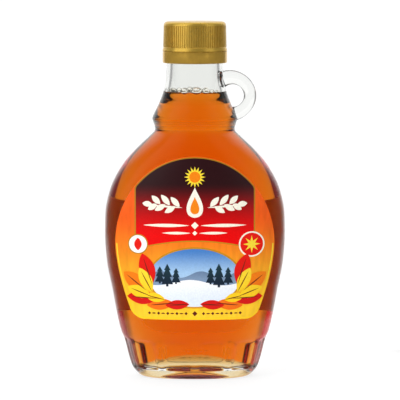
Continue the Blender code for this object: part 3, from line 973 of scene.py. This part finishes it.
def print_label(body):
    """The front label's print: an arched panel, a landscape in a wreath of leaves and small ornaments."""
    wide, high = MEDALLION_SIZE
    rim = oval(*MEDALLION, wide, high, MEDALLION_POINTS)
    view = oval(*MEDALLION, wide - MEDALLION_RIM, high - MEDALLION_RIM, MEDALLION_POINTS)
    frame_line = arched_panel(FRAME_INSET, PANEL_HALF_WIDTH + FRAME_LINE, PANEL_LOW - FRAME_LINE)
    pieces = [
        ("edge_line", [edge_line(EDGE_INSET, EDGE_LINE)], 1, "yellow"),
        ("frame_line", [frame_line], 1, "gold"),
        ("panel", [arched_panel(PANEL_INSET, PANEL_HALF_WIDTH, PANEL_LOW)], 2, "panel"),
        ("low_row", low_row(), 1, "brown"),
        ("medallion_rim", [rim], 3, "gold"),
        ("sky", [view], 4, "sky"),
        ("far_hills", [hill(MEDALLION_RIM, 1.6, 1.5, 7.0, 0.6)], 5, "far_hill"),
        ("snow_hills", [hill(MEDALLION_RIM, -2.2, 1.3, 4.2, 2.0)], 6, "snow"),
        ("pines", [pine(*tree) for tree in PINES], 7, "pine"),
    ]
    pieces += wreath_print()
    pieces += [
        ("title_ornament", title_ornament(), 3, "cream"),
        ("drop_core", [drop(0.0, 81.6, 2.9, 4.0)], 4, "orange"),
        ("sun_rays", [star(*SUN, 2.9, 4.9, 16)], 3, "yellow"),
        ("sun", [oval(*SUN, 2.5, 2.5)], 4, "orange"),
        ("right_ring", [oval(*RIGHT_DISC, 5.9, 5.9)], 4, "cream"),
        ("right_disc", [oval(*RIGHT_DISC, 5.2, 5.2)], 5, "red"),
        ("right_star", [star(*RIGHT_DISC, 1.6, 4.0, 8)], 6, "yellow"),
        ("left_ring", [oval(*LEFT_DISC, 4.6, 4.6)], 4, "gold"),
        ("left_disc", [oval(*LEFT_DISC, 4.1, 4.1)], 5, "snow"),
        ("left_leaf", [leaf(LEFT_DISC[0], 60.6, 90, 5.8, 3.4)], 6, "red"),
    ]
    inks = {tone: ink(tone + "_ink", *shades) for tone, shades in INKS.items()}
    for name, outlines, layer, tone in pieces:
        print_ink(name, outlines, layer, body, inks[tone])


def grid_cut(shape, step):
    """Cuts a flat shape along an even net, so that it can bend round the bottle."""
    low, high = Vector(shape.bound_box[0]), Vector(shape.bound_box[6])
    edit(shape)
    for axis in (0, 2):
        normal = (1, 0, 0) if axis == 0 else (0, 0, 1)
        first = math.ceil(low[axis] / (step * MM) + 0.01)
        last = math.floor(high[axis] / (step * MM) - 0.01)
        for i in range(first, last + 1):
            place = [0.0, 0.0, 0.0]
            place[axis] = i * step * MM
            bpy.ops.mesh.select_all(action="SELECT")
            bpy.ops.mesh.bisect(plane_co=place, plane_no=normal)
    leave_edit()


def wrap(shape, body, offset):
    """Presses a flat shape onto the front of the body, this far above its surface."""
    apply_modifier(
        shape,
        "SHRINKWRAP",
        target=body,
        wrap_method="PROJECT",
        use_project_y=True,
        wrap_mode="ABOVE_SURFACE",
        offset=offset,
    )


def build_label(name, body, material, slot, node, behind=False):
    """A thin paper label bent round the front of the glass, or turned to its back."""
    label = flat_shape(name, back_outline() if behind else label_outline())
    grid_cut(label, LABEL_NET)
    wrap(label, body, LABEL_FACE)
    apply_modifier(label, "SOLIDIFY", thickness=LABEL_FACE + LABEL_INTO_GLASS, offset=-1.0)
    if behind:
        label.rotation_euler = (0, 0, math.pi)
        settle(label)
    edit(label)
    bpy.ops.mesh.select_all(action="SELECT")
    bpy.ops.mesh.normals_make_consistent(inside=False)
    leave_edit()
    smooth(label, CREASE)
    return dress(label, material, slot, node)


def feed(tree, socket, value):
    """Links a socket to another one, or sets it to a constant."""
    if isinstance(value, bpy.types.NodeSocket):
        tree.links.new(value, socket)
    else:
        socket.default_value = value


def maths(tree, operation, *values):
    """The result of an operation on sockets or constants."""
    node = tree.nodes.new("ShaderNodeMath")
    node.operation = operation
    for socket, value in zip(node.inputs, values):
        feed(tree, socket, value)
    return node.outputs[0]


def vector_maths(tree, operation, result, *values):
    """The named result of an operation on vectors."""
    node = tree.nodes.new("ShaderNodeVectorMath")
    node.operation = operation
    for socket, value in zip(node.inputs, values):
        feed(tree, socket, value)
    return node.outputs[result]


def remapped(tree, value, low, high, start=0.0, end=1.0):
    """A value that runs from start to end while another runs from low to high."""
    node = tree.nodes.new("ShaderNodeMapRange")
    for name, number in (("From Min", low), ("From Max", high), ("To Min", start), ("To Max", end)):
        node.inputs[name].default_value = number
    tree.links.new(value, node.inputs["Value"])
    return node.outputs["Result"]


def blended(tree, kind, share, first, second):
    """A blend of two colours or two values."""
    node = tree.nodes.new("ShaderNodeMix")
    node.data_type = kind
    for name, value in (("Factor", share), ("A", first), ("B", second)):
        feed(tree, node.inputs[name], value)
    return node.outputs["Result"]


def coordinates(tree, kind):
    """A texture coordinate and its x, y and z."""
    place = tree.nodes.new("ShaderNodeTexCoord").outputs[kind]
    split = tree.nodes.new("ShaderNodeSeparateXYZ")
    tree.links.new(place, split.inputs[0])
    return place, split.outputs["X"], split.outputs["Y"], split.outputs["Z"]


def principled(name, colour, roughness, **values):
    """A material with a Principled shader whose constant values sit on its own sockets."""
    material = bpy.data.materials.new(name)
    material.use_nodes = True
    shader = material.node_tree.nodes["Principled BSDF"]
    shader.inputs["Base Color"].default_value = (*colour, 1.0)
    shader.inputs["Roughness"].default_value = roughness
    for key, value in values.items():
        shader.inputs[key.replace("_", " ")].default_value = value
    return material, shader


def linear(colour):
    """Display values from 0 to 255 as the linear values of a shader."""
    shares = [value / 255 for value in colour]
    return [s / 12.92 if s < 0.04045 else ((s + 0.055) / 1.055) ** 2.4 for s in shares]


def noise_in_object(tree, scale, detail, stretch=(1, 1, 1)):
    """A noise in the object's own space, squeezed or stretched along its axes."""
    coords = tree.nodes.new("ShaderNodeTexCoord")
    mapping = tree.nodes.new("ShaderNodeMapping")
    mapping.inputs["Scale"].default_value = stretch
    noise = tree.nodes.new("ShaderNodeTexNoise")
    noise.inputs["Scale"].default_value = scale
    noise.inputs["Detail"].default_value = detail
    tree.links.new(coords.outputs["Object"], mapping.inputs["Vector"])
    tree.links.new(mapping.outputs["Vector"], noise.inputs["Vector"])
    return noise.outputs["Fac"]


def climbing_colour(tree, low_colour, high_colour, low, high):
    """A display colour that changes to another one between two heights in mm."""
    _, _, _, height = coordinates(tree, "Object")
    climb = remapped(tree, height, low * MM, high * MM)
    climb.node.interpolation_type = "SMOOTHSTEP"
    return blended(tree, "RGBA", climb, (*linear(low_colour), 1.0), (*linear(high_colour), 1.0))


def paint(tree, shader, colour, noise, least, most):
    """Gives the shader a colour whose strength wavers with a noise."""
    scale = tree.nodes.new("ShaderNodeVectorMath")
    scale.operation = "SCALE"
    feed(tree, scale.inputs[0], colour)
    tree.links.new(remapped(tree, noise, *GRAIN_RANGE, least, most), scale.inputs["Scale"])
    tree.links.new(scale.outputs["Vector"], shader.inputs["Base Color"])


def ripple(tree, shader, noise, strength, distance):
    """Very slight waves of the surface from a noise."""
    bump = tree.nodes.new("ShaderNodeBump")
    bump.inputs["Strength"].default_value = strength
    bump.inputs["Distance"].default_value = distance
    tree.links.new(noise, bump.inputs["Height"])
    tree.links.new(bump.outputs["Normal"], shader.inputs["Normal"])


def see_through(name, colour, ior, sheen):
    """A clear body that mirrors little face on."""
    tint = (sheen, sheen, sheen, 1.0)
    return principled(name, colour, 0.0, IOR=ior, Transmission_Weight=1.0, Specular_Tint=tint)


def ink(name, *shades):
    """Print that shades from one display colour to another between two heights, with a fine grain."""
    material, shader = principled(name, (0.5, 0.5, 0.5), PRINT_ROUGHNESS, Specular_IOR_Level=PAPER_SHEEN)
    tree = material.node_tree
    noise = noise_in_object(tree, scale=1400.0, detail=3.0)
    paint(tree, shader, climbing_colour(tree, *shades), noise, least=0.94, most=1.05)
    return material


def clear_glass():
    """Clear glass with the faint waves of a moulded wall."""
    material, shader = see_through("clear_glass", GLASS_TINT, GLASS_IOR, GLASS_SHEEN)
    tree = material.node_tree
    noise = noise_in_object(tree, scale=90.0, detail=1.0)
    ripple(tree, shader, noise, strength=0.08, distance=0.4 * MM)
    return material


def amber_syrup():
    """Amber syrup whose colour deepens with the way that light takes through it."""
    material, shader = see_through("amber_syrup", (1.0, 1.0, 1.0), SYRUP_IOR, SYRUP_SHEEN)
    tree = material.node_tree
    absorb = tree.nodes.new("ShaderNodeVolumeAbsorption")
    absorb.inputs["Color"].default_value = SYRUP_COLOUR
    absorb.inputs["Density"].default_value = SYRUP_DENSITY
    tree.links.new(absorb.outputs["Volume"], tree.nodes["Material Output"].inputs["Volume"])
    noise = noise_in_object(tree, scale=60.0, detail=1.0)
    ripple(tree, shader, noise, strength=0.05, distance=0.4 * MM)
    return material


def gold_plastic(name, colour, polish):
    """Satin gold plastic, slightly mottled, with fine scuffs."""
    material, shader = principled(name, (0.46, 0.31, 0.06), polish[0], Metallic=GOLD_METAL)
    tree = material.node_tree
    noise = noise_in_object(tree, scale=420.0, detail=4.0)
    paint(tree, shader, linear(colour), noise, least=0.92, most=1.08)
    scuffs = noise_in_object(tree, scale=700.0, detail=3.0, stretch=(1.0, 1.0, 0.35))
    tree.links.new(remapped(tree, scuffs, *GRAIN_RANGE, *polish), shader.inputs["Roughness"])
    ripple(tree, shader, noise, strength=0.04, distance=0.2 * MM)
    return material


def front_paper():
    """Coated paper, orange above and golden yellow below."""
    material, shader = principled(
        "front_paper", (0.95, 0.4, 0.05), PRINT_ROUGHNESS, Specular_IOR_Level=PAPER_SHEEN
    )
    tree = material.node_tree
    noise = noise_in_object(tree, scale=500.0, detail=5.0, stretch=(1.0, 1.0, 0.25))
    paint(tree, shader, climbing_colour(tree, *FRONT_SHADES), noise, least=0.9, most=1.08)
    ripple(tree, shader, noise, strength=0.08, distance=0.2 * MM)
    return material


def back_paper():
    """Plain cream paper with a faint fibre, which lets some light through."""
    material, shader = principled(
        "back_paper",
        (0.8, 0.7, 0.5),
        BACK_ROUGHNESS,
        Specular_IOR_Level=PAPER_SHEEN,
        Subsurface_Weight=1.0,
        Subsurface_Radius=PAPER_SCATTER,
        Subsurface_Scale=1.0,
    )
    tree = material.node_tree
    noise = noise_in_object(tree, scale=700.0, detail=5.0, stretch=(1.0, 1.0, 0.4))
    paint(tree, shader, climbing_colour(tree, *BACK_SHADES), noise, least=0.9, most=1.05)
    ripple(tree, shader, noise, strength=0.1, distance=0.2 * MM)
    return material


def aim(obj, target):
    obj.rotation_euler = (Vector(target) - obj.location).to_track_quat("-Z", "Y").to_euler()


def area_light(name, place, size, watts):
    """A soft box that lights the bottle but isn't seen in it."""
    light = bpy.data.lights.new(name, "AREA")
    light.shape = "RECTANGLE"
    light.size, light.size_y = size
    light.energy = watts
    lamp = bpy.data.objects.new(name, light)
    bpy.context.scene.collection.objects.link(lamp)
    lamp.location = place
    aim(lamp, LIGHTS_AIM)
    lamp.visible_camera = False
    lamp.visible_glossy = False
    lamp.visible_transmission = False


def studio_world():
    """White behind the bottle, soft boxes at both sides of the camera and dark flags between them."""
    world = bpy.data.worlds.new("studio")
    bpy.context.scene.world = world
    world.use_nodes = True
    tree = world.node_tree
    tree.nodes.clear()
    direction, x, y, _ = coordinates(tree, "Generated")
    azimuth = maths(tree, "ARCTAN2", x, maths(tree, "MULTIPLY", y, -1.0))
    ramp = tree.nodes.new("ShaderNodeValToRGB")
    ramp.color_ramp.interpolation = "EASE"
    while len(ramp.color_ramp.elements) < len(STUDIO_ROUND):
        ramp.color_ramp.elements.new(0.5)
    for element, (degrees, value) in zip(ramp.color_ramp.elements, STUDIO_ROUND):
        element.position = degrees / 360 + 0.5
        element.color = (value, value, value, 1)
    tree.links.new(remapped(tree, azimuth, -math.pi, math.pi), ramp.inputs["Fac"])
    upward = vector_maths(tree, "DOT_PRODUCT", "Value", direction, STUDIO_TOP_TOWARDS)
    rise = remapped(tree, upward, STUDIO_TOP_FROM, STUDIO_TOP_TO)
    top = (STUDIO_TOP, STUDIO_TOP, STUDIO_TOP, 1)
    background = tree.nodes.new("ShaderNodeBackground")
    feed(tree, background.inputs["Color"], blended(tree, "RGBA", rise, ramp.outputs["Color"], top))
    output = tree.nodes.new("ShaderNodeOutputWorld")
    tree.links.new(background.outputs[0], output.inputs["Surface"])


def glowing_floor():
    """A pale floor with painted light: it glows round the bottle and behind it, as a light table does,
    except in a painted shadow under the foot.
    """
    material, shader = principled("pale_floor_with_painted_glow", (FLOOR_TONE, FLOOR_TONE, FLOOR_TONE), FLOOR_ROUGHNESS)
    tree = material.node_tree
    place, x, y, _ = coordinates(tree, "Object")
    away = vector_maths(tree, "LENGTH", "Value", place)
    aside = maths(tree, "ABSOLUTE", x)
    turn = maths(tree, "ARCTAN2", aside, maths(tree, "MULTIPLY", y, -1.0))

    # Painted light: the floor glows near the bottle and in a strip behind it.
    near = remapped(tree, away, *GLOW_NEAR, 1.0, 0.0)
    beside = remapped(tree, aside, *GLOW_NEAR_ASIDE, 1.0, 0.0)
    behind = remapped(tree, turn, *[math.radians(degrees) for degrees in GLOW_BEHIND])
    far_behind = remapped(tree, turn, *[math.radians(degrees) for degrees in GLOW_FAR_BEHIND])
    strip = blended(tree, "FLOAT", remapped(tree, away, *FAR), behind, far_behind)
    most = maths(tree, "MAXIMUM", maths(tree, "MULTIPLY", near, beside), strip)

    # Painted shadow: the glow fades out in an oval under the foot.
    shaped = vector_maths(tree, "MULTIPLY", "Vector", place, SHADE_SHAPE)
    clear = remapped(tree, vector_maths(tree, "LENGTH", "Value", shaped), *SHADE_UNDER)
    glow = remapped(tree, maths(tree, "MULTIPLY", most, clear), 0.0, 1.0, *GLOW)
    shader.inputs["Emission Color"].default_value = (1.0, 1.0, 1.0, 1.0)
    tree.links.new(glow, shader.inputs["Emission Strength"])
    return material


def build_stage():
    """A pale floor with painted glow round the bottle and a painted shadow under the foot, and soft studio
    light.
    """
    deselect()
    bpy.ops.mesh.primitive_circle_add(
        vertices=128, radius=FLOOR_RADIUS, fill_type="NGON", location=(0, 0, 0)
    )
    floor = bpy.context.object
    floor.name = floor.data.name = "floor"
    floor.data.materials.append(glowing_floor())
    studio_world()
    for light in LIGHTS:
        area_light(*light)


def build_camera():
    """A far camera that looks a little down, with the bottle's axis left of the middle as in the photo."""
    camera = bpy.data.objects.new("camera", bpy.data.cameras.new("camera"))
    bpy.context.scene.collection.objects.link(camera)
    camera.data.lens = PIXELS_PER_MM / MM * CAMERA_DISTANCE / PHOTO_SIZE * SENSOR_MM
    camera.data.sensor_width = SENSOR_MM
    aside = (PHOTO_SIZE / 2 - BOTTLE_AXIS_PIXEL) / (PIXELS_PER_MM / MM)
    camera.location = (
        aside,
        -CAMERA_DISTANCE * math.cos(CAMERA_ELEVATION),
        MIDDLE_HEIGHT + CAMERA_DISTANCE * math.sin(CAMERA_ELEVATION),
    )
    camera.rotation_euler = (math.pi / 2 - CAMERA_ELEVATION, 0, 0)
    camera.data.clip_start, camera.data.clip_end = CAMERA_CLIP
    bpy.context.scene.camera = camera


build_camera()
build_stage()
bpy.context.scene.view_settings.view_transform = "Standard"
form = build_glass_outside()
build_label("front_print", form, front_paper(), "front_paper", "front_label")
print_label(form)
build_label("back_print", form, back_paper(), "back_paper", "back_label", True)
bpy.data.objects.remove(form)
build_glass(clear_glass())
amber = amber_syrup()
build_syrup(amber)
build_foam(amber)
build_cap(gold_plastic("gold_cap", CAP_GOLD, CAP_POLISH))
build_band(gold_plastic("gold_band", BAND_GOLD, BAND_POLISH))
